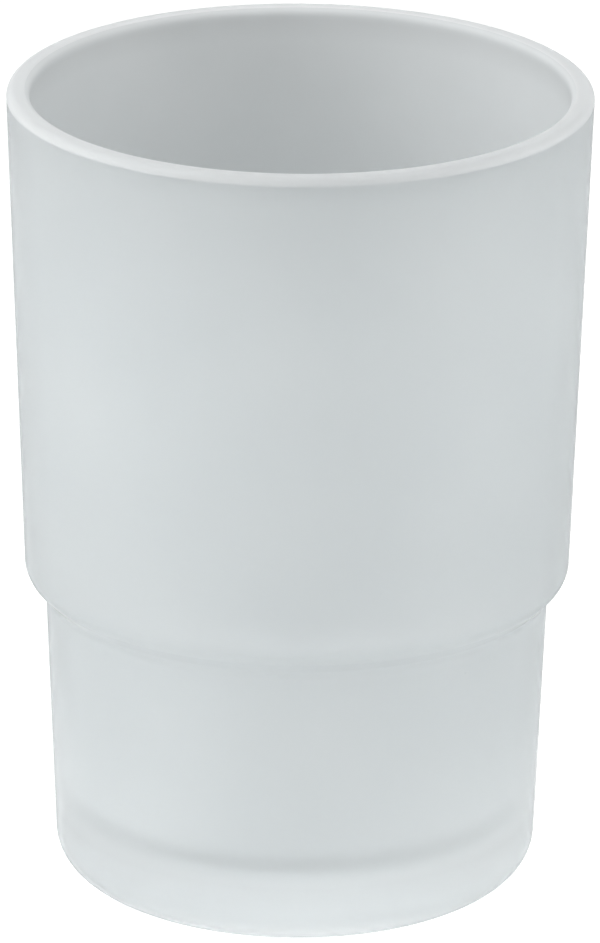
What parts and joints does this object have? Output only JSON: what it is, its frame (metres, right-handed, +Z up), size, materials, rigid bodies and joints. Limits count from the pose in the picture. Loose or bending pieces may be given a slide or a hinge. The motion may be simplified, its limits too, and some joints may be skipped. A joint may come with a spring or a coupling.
{
  "type": "toothbrush tumbler",
  "caption": "Frosted glass tumbler with a flared upper body, a shoulder and a narrower lower body that drops into a wall bracket's ring to hold toothbrushes.",
  "frame": {"origin": "centre of the foot plane, on the axis of the glass", "axes": "+Z up along the axis of the glass, from the foot to the rim; X and Y are alike because the glass is round"},
  "size_m": [0.068, 0.068, 0.096],
  "materials": {
    "frosted_glass": "acid-etched satin all over, translucent, with a faint cool tint"
  },
  "bodies": {
    "root": {"tumbler": "frosted_glass"}
  },
  "joints": []
}
